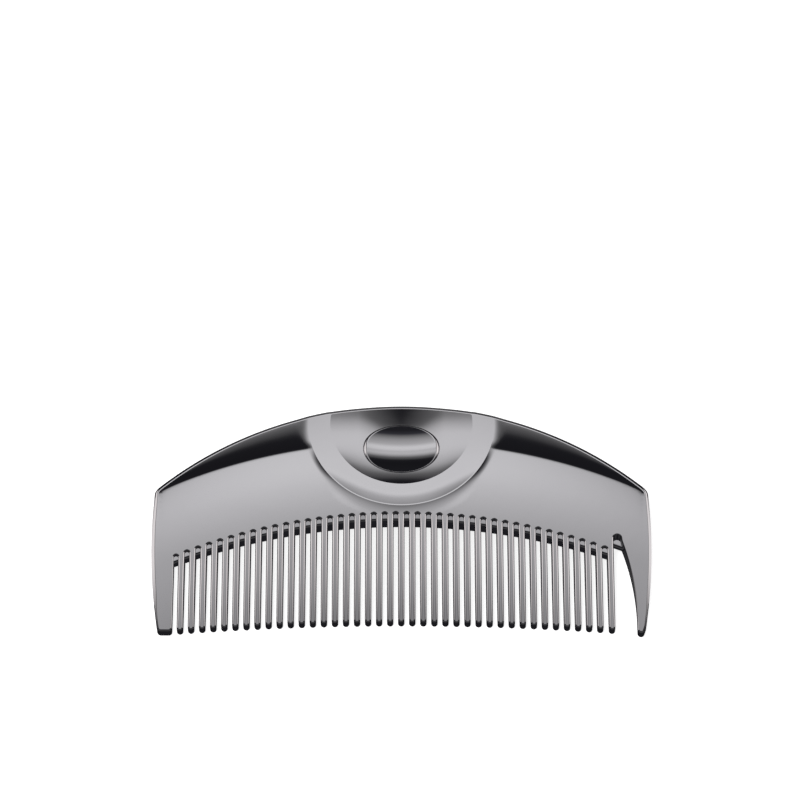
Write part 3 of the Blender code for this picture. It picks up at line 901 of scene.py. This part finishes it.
    def add_sheet(self, border: np.ndarray, border_ids: np.ndarray) -> None:
        """Add the face inside the border: plate, scoops, disc and dish, with a hole for the oval.

        Args:
            border: The innermost ring of the rounded edge, as rows of XY.
            border_ids: The vertex numbers that it already has.
        """
        hole = self.seat.ring(0.0)
        lines = self.feature_lines(border)
        blocks = [border, hole]
        edges = []
        start = 0
        for block in blocks:
            numbers = np.arange(start, start + len(block))
            edges += list(zip(numbers, np.roll(numbers, -1)))
            start += len(block)
        for line in lines:
            numbers = np.arange(start, start + len(line) - 2)
            first = int(np.argmin(np.linalg.norm(border - line[0], axis=1)))
            last = int(np.argmin(np.linalg.norm(border - line[-1], axis=1)))
            chain = [first, *numbers, last]
            edges += list(zip(chain, chain[1:]))
            blocks.append(line[1:-1])
            start += len(line) - 2
        fixed = np.concatenate(blocks)
        points = np.concatenate([fixed, self.grid_points(fixed)])
        flat, faces, sources = triangulate(points, [(int(a), int(b)) for a, b in edges])
        centres = flat[faces].mean(axis=1)
        keep = inside_loop(centres, border) & ~inside_loop(centres, hole)
        faces, centres = faces[keep], centres[keep]
        numbers = np.full(len(flat), -1)
        self.hole_ids = np.full(len(hole), -1)
        for new, olds in enumerate(sources):
            for old in olds:
                if old < len(border):
                    numbers[new] = border_ids[old]
        fresh = np.flatnonzero((numbers < 0) & np.isin(np.arange(len(flat)), faces))
        heights = self.relief.top_z(flat[fresh, 0], flat[fresh, 1])
        numbers[fresh] = self.mesh.add_points(np.column_stack([flat[fresh], heights]))
        for new, olds in enumerate(sources):
            for old in olds:
                if len(border) <= old < len(border) + len(hole):
                    self.hole_ids[old - len(border)] = numbers[new]
        region = self.relief.regions(centres[:, 0], centres[:, 1])
        corners = np.stack([self.relief.normals(flat[faces[:, k], 0], flat[faces[:, k], 1], region)
                            for k in range(3)], axis=1)
        self.mesh.add_faces(numbers[faces], corners)

    def add_seat_walls(self) -> None:
        """Add the rounded lip and the wall of the oval's seat, and its floor."""
        seat = self.seat
        rim = seat.ring(0.0)
        outward = seat.outward(rim)
        region = np.full(len(rim), 2)
        surface = self.relief.normals(rim[:, 0], rim[:, 1], region)
        top = self.relief.dish_z(rim[:, 0], rim[:, 1])
        lip = self.seat_lip
        upper = self.hole_ids
        upper_normals = surface
        for i in range(1, 4):
            angle = math.pi / 2.0 * i / 3.0
            ring = seat.ring(lip * math.sin(angle) * self.seat_lip_share)
            height = top - lip * (1.0 - math.cos(angle))
            ids = self.mesh.add_points(np.column_stack([ring, height]))
            normals = surface * math.cos(angle) - outward * math.sin(angle)
            self.mesh.bridge(upper, ids, upper_normals, normals)
            upper, upper_normals = ids, normals
        ring = seat.ring(lip * self.seat_lip_share)
        floor = self.mesh.add_points(np.column_stack([ring, np.full(len(ring), seat.floor_z)]))
        self.mesh.bridge(upper, floor, upper_normals, -outward)
        centre = self.mesh.add_points(np.array([[0.0, seat.centre_y, seat.floor_z]]))[0]
        ahead = np.roll(floor, -1)
        fan = np.stack([floor, ahead, np.full(len(floor), centre)], axis=1)
        self.mesh.add_faces(fan, np.tile((0.0, 0.0, 1.0), (len(fan) * 3, 1)))

    def add_shell(self) -> None:
        """Add the rounded edge rings, the upright walls, the face and the flat back."""
        path = self.plan.outline()
        points = np.array(path.points)
        inward = np.array(path.inward)
        width, depth, land = self.edge_sizes(path)
        spine = np.array([zone is Zone.SPINE for zone in path.zones])
        border = points + inward * (width + land)[:, None]
        height = self.relief.top_z(border[:, 0], border[:, 1])
        region = self.relief.regions(border[:, 0], border[:, 1])
        surface = self.relief.normals(border[:, 0], border[:, 1], region)
        level = np.where(spine[:, None], np.array([0.0, 0.0, 1.0]), surface)
        gentle = np.array([zone in (Zone.LEFT_SIDE, Zone.RIGHT_SIDE) for zone in path.zones])
        outward = np.column_stack([-inward, np.zeros(len(inward))])
        rings, normals = [], []
        for i in range(self.back_steps + 1):
            angle = math.pi / 2.0 * (1.0 - i / self.back_steps)
            inset = self.back_round * (1.0 - math.cos(angle))
            lift = self.back_round * (1.0 - math.sin(angle))
            rings.append(np.column_stack([points + inward * inset, np.full(len(points), lift)]))
            normals.append(outward * math.cos(angle) + np.array([0.0, 0.0, -math.sin(angle)]))
        for share, below, lean in zip(*edge_profile()):
            inset = inward * (width * share)[:, None]
            rings.append(np.column_stack([points + inset, height - depth * below]))
            seen = np.where(gentle, min(lean, self.side_lean), lean)[:, None]
            normals.append(outward * np.sin(seen) + level * np.cos(seen))
        rings.append(np.column_stack([border, height]))
        normals.append(level)
        ids = [self.mesh.add_points(ring) for ring in rings]
        for low, high, low_normals, high_normals in zip(ids, ids[1:], normals, normals[1:]):
            self.mesh.bridge(low, high, low_normals, high_normals)
        self.add_sheet(border, ids[-1])
        self.add_back(rings[0][:, :2], ids[0])

    def add_back(self, loop: np.ndarray, ids: np.ndarray) -> None:
        """Close the flat back inside its rounded edge."""
        edges = [(i, (i + 1) % len(loop)) for i in range(len(loop))]
        flat, faces, sources = triangulate(loop, edges)
        faces = faces[inside_loop(flat[faces].mean(axis=1), loop)][:, ::-1]
        numbers = np.array([ids[olds[0]] if olds else -1 for olds in sources])
        self.mesh.add_faces(numbers[faces], np.tile((0.0, 0.0, -1.0), (len(faces) * 3, 1)))

    def add_web(self, left: float, right: float, low_y: float, high_y: float, recess: float) -> None:
        """Add the piece of web in one slot: a ledge below the face with a rounded nose.

        Args:
            left: The slot's left wall.
            right: Its right wall.
            low_y: The Y of the nose.
            high_y: The Y where the web ends inside the plate.
            recess: How far the web's front lies below the face.
        """
        middle = (left + right) / 2.0
        nose = self.web_nose
        face = float(self.relief.top_z(np.array([middle]), np.array([low_y + nose]))[0])
        front = face - recess
        back = self.web_back_z
        bevel = self.web_bevel
        round_tall = (front - back) * self.web_nose_share
        profile = [(high_y, back, (0.0, -1.0)), (low_y + bevel, back, (0.0, -1.0))]
        for i in range(4):
            angle = math.pi / 2.0 * i / 3.0
            y = low_y + bevel - bevel * math.sin(angle)
            z = back + bevel - bevel * math.cos(angle)
            profile.append((y, z, (-math.sin(angle), -math.cos(angle))))
        for i in range(7):
            angle = math.pi / 2.0 * i / 6.0
            y = low_y + nose * (1.0 - math.cos(angle))
            z = front - round_tall * (1.0 - math.sin(angle))
            profile.append((y, z, (-math.cos(angle) * round_tall, math.sin(angle) * nose)))
        lean = self.web_lean * (1.0 - self.web_lean_loss * abs(middle) / self.plan.half_width)
        slope = math.tan(lean)
        profile[-1] = (low_y + nose, front, (-math.sin(lean), math.cos(lean)))
        profile.append((high_y, front + slope * (high_y - low_y - nose), (-slope, 1.0)))
        rows = []
        for x in (left - self.web_overlap, right + self.web_overlap):
            slant = float(arc_drop(middle, self.web_line_radius) - arc_drop(x, self.web_line_radius))
            rows.append(self.mesh.add_points(np.array([(x, y + slant, z) for y, z, _ in profile])))
        normals = np.array([(0.0, *n) for _, _, n in profile])
        normals /= np.linalg.norm(normals, axis=1, keepdims=True)
        count = len(profile)
        ahead = np.roll(np.arange(count), -1)
        low, high = rows
        faces = np.stack([low, high, high[ahead], low[ahead]], axis=1)
        corners = np.stack([normals, normals, normals[ahead], normals[ahead]], axis=1)
        corners[-1] = (0.0, 1.0, 0.0)
        self.mesh.add_faces(faces, corners)
        self.mesh.add_faces([tuple(low)], np.tile((-1.0, 0.0, 0.0), (count, 1)))
        self.mesh.add_faces([tuple(high[::-1])], np.tile((1.0, 0.0, 0.0), (count, 1)))

    def add_webs(self) -> None:
        """Add the web in every slot, and the higher one in the wide gap."""
        for left, right in self.plan.slots():
            middle = (left + right) / 2.0
            low = float(self.web_line_y - arc_drop(middle, self.web_line_radius))
            recess = self.recess_depth - self.recess_loss * abs(middle) / self.plan.half_width
            self.add_web(left, right, low, float(self.plan.arch_y(middle)) + self.web_reach, recess)
        wall = self.plan.last_tooth_x + self.plan.tooth_half
        high = self.plan.gap_crown_y + self.web_reach
        self.add_web(wall, wall + self.gap_web_width, self.gap_web_y, high, self.gap_recess)

    def build(self, finish: bpy.types.Material) -> bpy.types.Object:
        """Make the whole moulding in a finish."""
        self.add_shell()
        self.add_seat_walls()
        self.add_webs()
        return self.mesh.build("comb_moulding", finish)


@dataclass
class ThumbInlay:
    """The oval inlay: a shallow bowl with a thin bright rim that sits in the dish.

    The rim is wider at the oval's two ends. The sizes with shade in their names, the end's lean and the
    level share only steer the polished surface's normals.
    """

    seat: OvalSeat
    relief: FaceRelief
    gap: float = 0.06
    foot_lift: float = 0.1
    rim_drop: float = 0.02
    rim_round: float = 0.30
    end_power: int = 8
    end_spread: float = 2.0
    end_lean: float = math.radians(36.0)
    sag: float = 1.15
    rings: int = 26
    end_shade: float = 0.2
    upper_shade: tuple[float, float] = (0.33, 0.16)
    lower_shade: float = 0.34
    level_share: float = 0.10
    mesh: Facets = field(default_factory=Facets)

    @property
    def foot_z(self) -> float:
        """Return the height of the inlay's underside."""
        return self.seat.floor_z + self.foot_lift

    @property
    def level(self) -> np.ndarray:
        """Return the direction square to the oval's edge plane."""
        return np.array([0.0, math.sin(self.seat.lean), math.cos(self.seat.lean)])

    def rim_rows(self, base: np.ndarray, edge: np.ndarray) -> tuple[list[np.ndarray], list[np.ndarray]]:
        """Make the wall and the rounded rim.

        Args:
            base: The wall's ring, as rows of XY.
            edge: The height of the rim at each of its points.

        Returns:
            The rings as rows of XYZ, and a row of normals for each ring.
        """
        outward = self.seat.outward(base)
        rows = [np.column_stack([base, np.full(len(base), self.foot_z)])]
        normals = [outward]
        end = np.abs(outward[:, :1]) ** self.end_power
        for share, below, tilt in zip(*edge_profile()):
            ring = base - outward[:, :2] * (1.0 + self.end_spread * end) * self.rim_round * share
            rows.append(np.column_stack([ring, edge - self.rim_round * below]))
            seen = tilt + (min(tilt, self.end_lean) - tilt) * end
            normals.append(outward * np.sin(seen) + self.level * np.cos(seen))
        return rows, normals

    def bowl_rows(self, edge: np.ndarray) -> tuple[list[np.ndarray], list[np.ndarray]]:
        """Make the bowl's rings, from the rim inwards.

        Args:
            edge: The height of the rim at each of its points.

        Returns:
            The rings as rows of XYZ, and a row of normals for each ring.
        """
        seat = self.seat
        length = seat.half_length - self.gap - (1.0 + self.end_spread) * self.rim_round
        height = seat.half_height - self.gap - self.rim_round
        angle = np.linspace(0.0, 2.0 * math.pi, seat.steps, endpoint=False)
        rows, normals = [], []
        for i in range(self.rings):
            share = 1.0 - i / self.rings
            x = length * share * np.cos(angle)
            y = height * share * np.sin(angle)
            z = seat.edge_z - self.sag + (edge - seat.edge_z + self.sag) * share * share
            slope_x = 2.0 * self.sag * x / length ** 2
            reach = y / height
            upper = self.upper_shade[0] * reach + self.upper_shade[1] * reach ** 2
            lower = self.lower_shade * np.minimum(reach + self.level_share, 0.0)
            slope_y = np.where(y > 0.0, upper, lower) - math.tan(seat.lean)
            rows.append(np.column_stack([x, seat.centre_y + y, z]))
            normals.append(np.column_stack([-slope_x * self.end_shade, -slope_y, np.ones(len(x))]))
        return rows, normals

    def build(self, finish: bpy.types.Material) -> bpy.types.Object:
        """Make the inlay in a finish."""
        seat = self.seat
        base = seat.ring(self.gap)
        edge = self.relief.dish_z(base[:, 0], base[:, 1]) - self.rim_drop
        rows, normals = (rim + bowl for rim, bowl in zip(self.rim_rows(base, edge), self.bowl_rows(edge)))
        ids = [self.mesh.add_points(row) for row in rows]
        for low, high, low_normals, high_normals in zip(ids, ids[1:], normals, normals[1:]):
            self.mesh.bridge(low, high, low_normals, high_normals)
        first, last = ids[0], ids[-1]
        centre = self.mesh.add_points(np.array([[0.0, seat.centre_y, seat.edge_z - self.sag]]))[0]
        fan = np.stack([last, np.roll(last, -1), np.full(len(last), centre)], axis=1)
        middle = np.tile(self.level, (len(last), 1))
        self.mesh.add_faces(fan, np.stack([normals[-1], np.roll(normals[-1], -1, axis=0), middle], axis=1))
        under = self.mesh.add_points(np.array([[0.0, seat.centre_y, self.foot_z]]))[0]
        fan = np.stack([np.roll(first, -1), first, np.full(len(first), under)], axis=1)
        self.mesh.add_faces(fan, np.tile((0.0, 0.0, -1.0), (len(fan) * 3, 1)))
        return self.mesh.build("thumb_inlay_bowl", finish)


@dataclass(frozen=True)
class DarkChromePlate:
    """Dark chrome plated on polished ABS: a near mirror that takes the studio's greys a stop down.

    The moulding was polished before plating, so the eye gets sharp reflections with a faint waviness,
    and hair-fine wiping marks that break up the brightest parts. The marks are drawn wider than real
    ones, so that they show in a render.
    """

    name: str = "dark_chrome_plated_abs_polished"
    colour: str = "c9c8ca"
    darker: tuple[float, float, float] = (0.985, 0.985, 0.99)
    roughness: float = 0.055
    roughness_range: tuple[float, float] = (0.8, 1.25)
    wave_mm: float = 9.0
    wave_depth: float = 0.01
    marks_mm: float = 0.6
    marks_stretch: float = 0.15

    def material(self) -> bpy.types.Material:
        """Make the material."""
        material = bpy.data.materials.new(self.name)
        material.use_nodes = True
        tree = material.node_tree
        shader = tree.nodes["Principled BSDF"]
        shader.inputs["Metallic"].default_value = 1.0
        place = add_node(tree, "ShaderNodeTexCoord").outputs["Object"]
        colour = linear_colour(self.colour)
        tone = add_node(tree, "ShaderNodeTexNoise", links={"Vector": place},
                        values={"Scale": 1.0 / (self.wave_mm * MM), "Detail": 2.0})
        tint = add_node(tree, "ShaderNodeMix", {"data_type": "RGBA"}, {"Factor": tone.outputs["Fac"]})
        tint.inputs["A"].default_value = (*(c * share for c, share in zip(colour, self.darker)), 1.0)
        tint.inputs["B"].default_value = (*colour, 1.0)
        tree.links.new(tint.outputs["Result"], shader.inputs["Base Color"])
        stretch = add_node(tree, "ShaderNodeMapping", links={"Vector": place})
        stretch.inputs["Scale"].default_value = (self.marks_stretch, 1.0, 1.0)
        marks = add_node(tree, "ShaderNodeTexNoise", links={"Vector": stretch.outputs["Vector"]},
                         values={"Scale": 1.0 / (self.marks_mm * MM), "Detail": 3.0})
        low, high = (self.roughness * share for share in self.roughness_range)
        gloss = add_node(tree, "ShaderNodeMapRange", links={"Value": marks.outputs["Fac"]},
                         values={"To Min": low, "To Max": high})
        tree.links.new(gloss.outputs["Result"], shader.inputs["Roughness"])
        bump = add_node(tree, "ShaderNodeBump", links={"Height": tone.outputs["Fac"]},
                        values={"Strength": 1.0, "Distance": self.wave_depth * MM})
        tree.links.new(bump.outputs["Normal"], shader.inputs["Normal"])
        return material


@dataclass
class Studio:
    """The pale floor, the soft lights and the camera.

    The sky is a list of angles round the comb's long axis, in degrees, with the grey level from 0 to 255
    that a polished face shows of it: 0 is behind the spine, 90 overhead and 180 in front of the teeth.
    """

    camera_place: tuple[float, float, float] = (-0.36, -493.96, 931.09)
    camera_tilt: float = 29.72
    lens: float = 181.7
    sky: tuple[tuple[float, float], ...] = (
        (-180.0, 30.0), (-90.0, 26.0), (-60.0, 60.0), (-30.0, 90.0), (8.0, 84.0), (22.0, 26.0), (40.0, 22.0),
        (46.0, 26.0), (51.0, 92.0), (55.0, 158.0), (60.0, 194.0), (64.0, 198.0), (70.0, 165.0), (80.0, 138.0),
        (86.0, 108.0), (92.0, 46.0), (100.0, 30.0), (130.0, 30.0), (146.0, 62.0), (166.0, 62.0), (180.0, 30.0),
    )
    plate_share: float = 0.60
    cool_below: float = 60.0
    room_level: float = 24.0
    front_level: float = 62.0
    end_shift: float = 0.02
    end_fade: tuple[float, float, float] = (0.04, 0.40, 0.97)
    room_rise: tuple[float, float, float] = (0.0, 0.15, 1.0)
    room_front: tuple[float, float, float] = (0.0, -0.40, 1.0)
    strip_side: tuple[float, float, float] = (0.50, 0.62, 1.0)
    strip_behind: tuple[float, float, float] = (0.12, 0.36, 1.0)
    strip_light: tuple[float, float, float] = (1.16, 1.11, 1.10)
    wall_light: tuple[float, float, float] = (0.93, 0.93, 0.94)
    floor_size: float = 6.0
    floor_tones: tuple[float, float] = (0.84, 0.86)
    floor_fibres: float = 900.0
    floor_glow: float = 0.86
    key_size: float = 0.7
    key_watts: float = 9.0
    key_place: tuple[float, float, float] = (-0.45, -0.35, 1.0)
    key_turn: tuple[float, float, float] = (-18.0, -24.0, 0.0)

    def add_floor(self) -> bpy.types.Object:
        """Lay a pale sheet with a slight glow, so that the gaps between the teeth stay light."""
        bpy.ops.mesh.primitive_plane_add(size=self.floor_size)
        floor = bpy.context.object
        floor.name = "studio_floor"
        material = bpy.data.materials.new("paper_backdrop_matt")
        material.use_nodes = True
        tree = material.node_tree
        shader = tree.nodes["Principled BSDF"]
        shader.inputs["Roughness"].default_value = 0.9
        shader.inputs["Specular IOR Level"].default_value = 0.0
        place = add_node(tree, "ShaderNodeTexCoord").outputs["Object"]
        fibre = add_node(tree, "ShaderNodeTexNoise", links={"Vector": place},
                         values={"Scale": self.floor_fibres})
        low, high = self.floor_tones
        tone = add_node(tree, "ShaderNodeMapRange", links={"Value": fibre.outputs["Fac"]},
                        values={"To Min": low, "To Max": high})
        tree.links.new(tone.outputs["Result"], shader.inputs["Base Color"])
        shader.inputs["Emission Color"].default_value = (1.0, 1.0, 1.0, 1.0)
        shader.inputs["Emission Strength"].default_value = self.floor_glow
        floor.data.materials.append(material)
        floor.visible_glossy = False
        return floor

    def add_sky(self, tree: bpy.types.NodeTree, parts: bpy.types.Node) -> bpy.types.NodeSocket:
        """Add the long overhead light as a ramp round the comb's long axis.

        Args:
            tree: The world's nodes.
            parts: The node that gives the ray's X, Y and Z.

        Returns:
            The socket that gives the light's colour.
        """
        angle = add_node(tree, "ShaderNodeMath", {"operation": "ARCTAN2"},
                         {0: parts.outputs["Z"], 1: parts.outputs["Y"]})
        turn = add_node(tree, "ShaderNodeMapRange", links={"Value": angle.outputs[0]},
                        values={"From Min": -math.pi, "From Max": math.pi})
        ramp = add_node(tree, "ShaderNodeValToRGB", links={0: turn.outputs["Result"]})
        stops = ramp.color_ramp.elements
        while len(stops) > 1:
            stops.remove(stops[-1])
        stops[0].position = 0.0
        for degrees, level in self.sky:
            stop = stops.new((degrees + 180.0) / 360.0) if degrees > -180.0 else stops[0]
            light = grey_light(level) / self.plate_share
            cool = 1.2 if level < self.cool_below else 1.01
            stop.color = (light, light * 0.995, light * cool, 1.0)
        return ramp.outputs["Color"]

    def add_world(self) -> None:
        """Surround the comb with a long soft overhead light, two side lights and a dark room."""
        world = bpy.data.worlds.new("studio_room")
        bpy.context.scene.world = world
        world.use_nodes = True
        tree = world.node_tree
        tree.nodes.clear()
        ray = add_node(tree, "ShaderNodeTexCoord").outputs["Generated"]
        parts = add_node(tree, "ShaderNodeSeparateXYZ", links={0: ray})
        shifted = add_node(tree, "ShaderNodeMath", {"operation": "ADD"}, {0: parts.outputs["X"]},
                           {1: self.end_shift})
        away = add_node(tree, "ShaderNodeMath", {"operation": "ABSOLUTE"}, {0: shifted.outputs[0]})
        end, above, front, side, behind = (
            add_node(tree, "ShaderNodeMapRange", {"interpolation_type": "SMOOTHSTEP"}, {"Value": socket},
                     {"From Min": start, "From Max": stop, "To Max": most}).outputs["Result"]
            for socket, (start, stop, most) in (
                (away.outputs[0], self.end_fade), (parts.outputs["Z"], self.room_rise),
                (parts.outputs["Y"], self.room_front), (away.outputs[0], self.strip_side),
                (parts.outputs["Y"], self.strip_behind))
        )
        faded = add_node(tree, "ShaderNodeMix", {"data_type": "RGBA"},
                         {"Factor": end, "A": self.add_sky(tree, parts)})
        nearer = add_node(tree, "ShaderNodeMath", {"operation": "MULTIPLY"}, {0: front, 1: above})
        room = add_node(tree, "ShaderNodeMix", {"data_type": "RGBA"}, {"Factor": nearer.outputs[0]})
        dark = grey_light(self.room_level) / self.plate_share
        dim = grey_light(self.front_level) / self.plate_share
        room.inputs["A"].default_value = (dark, dark, dark * 1.2, 1.0)
        room.inputs["B"].default_value = (dim, dim, dim * 1.05, 1.0)
        tree.links.new(room.outputs["Result"], faded.inputs["B"])
        lit = add_node(tree, "ShaderNodeMath", {"operation": "MULTIPLY"}, {0: side, 1: above})
        both = add_node(tree, "ShaderNodeMath", {"operation": "MULTIPLY"}, {0: lit.outputs[0], 1: behind})
        strip = add_node(tree, "ShaderNodeMix", {"data_type": "RGBA"},
                         {"Factor": both.outputs[0], "A": faded.outputs["Result"]})
        strip.inputs["B"].default_value = (*self.strip_light, 1.0)
        glow = add_node(tree, "ShaderNodeBackground", links={"Color": strip.outputs["Result"]})
        wall = add_node(tree, "ShaderNodeBackground", values={"Color": (*self.wall_light, 1.0)})
        seen = add_node(tree, "ShaderNodeLightPath").outputs["Is Camera Ray"]
        mixed = add_node(tree, "ShaderNodeMixShader",
                         links={0: seen, 1: glow.outputs[0], 2: wall.outputs[0]})
        add_node(tree, "ShaderNodeOutputWorld", links={"Surface": mixed.outputs[0]})

    def add_key_light(self) -> None:
        """Hang one large soft light, which the polished metal doesn't show."""
        light = bpy.data.lights.new("soft_key", "AREA")
        light.shape = "SQUARE"
        light.size = self.key_size
        light.energy = self.key_watts
        lamp = bpy.data.objects.new("soft_key", light)
        lamp.location = self.key_place
        lamp.rotation_euler = [math.radians(turn) for turn in self.key_turn]
        lamp.visible_glossy = False
        bpy.context.scene.collection.objects.link(lamp)

    def add_camera(self) -> None:
        """Place the camera at the photograph's angle."""
        data = bpy.data.cameras.new("studio_camera")
        data.lens = self.lens
        data.sensor_width = 36.0
        data.clip_end = 20.0
        camera = bpy.data.objects.new("studio_camera", data)
        camera.location = [c * MM for c in self.camera_place]
        camera.rotation_euler = (math.radians(self.camera_tilt), 0.0, 0.0)
        bpy.context.scene.collection.objects.link(camera)
        bpy.context.scene.camera = camera

    def build(self) -> bpy.types.Object:
        """Set up the studio and return its floor."""
        self.add_world()
        self.add_key_light()
        self.add_camera()
        bpy.context.scene.view_settings.view_transform = "Standard"
        return self.add_floor()


def main() -> None:
    """Build the comb's pieces and the studio round them."""
    logging.basicConfig(level=logging.INFO, format="%(name)s: %(message)s")
    low, high = (np.array(corner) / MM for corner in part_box("comb_body"))
    inlay_low, inlay_high = (np.array(corner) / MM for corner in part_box("thumb_inlay"))
    plan = CombPlan(half_width=float(high[0] - low[0]) / 2.0, half_height=float(high[1] - low[1]) / 2.0)
    relief = FaceRelief(plan, disc_top=float(high[2]))
    seat = OvalSeat(
        centre_y=float(inlay_high[1] + inlay_low[1]) / 2.0,
        half_length=float(inlay_high[0] - inlay_low[0]) / 2.0 + FIT_GAP,
        half_height=float(inlay_high[1] - inlay_low[1]) / 2.0 + FIT_GAP,
        floor_z=float(inlay_low[2]) - FIT_GAP,
    )
    chrome = DarkChromePlate().material()
    body = CombBody(plan, relief, seat).build(chrome)
    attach(body, "root")
    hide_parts("comb_body")
    LOG.info("%s: %d faces", body.name, len(body.data.polygons))
    inlay = ThumbInlay(seat, relief).build(chrome)
    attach(inlay, "root")
    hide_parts("thumb_inlay")
    LOG.info("%s: %d faces", inlay.name, len(inlay.data.polygons))
    floor = Studio().build()
    LOG.info("%s laid", floor.name)


if __name__ == "__main__":
    main()
    bpy.context.view_layer.update()
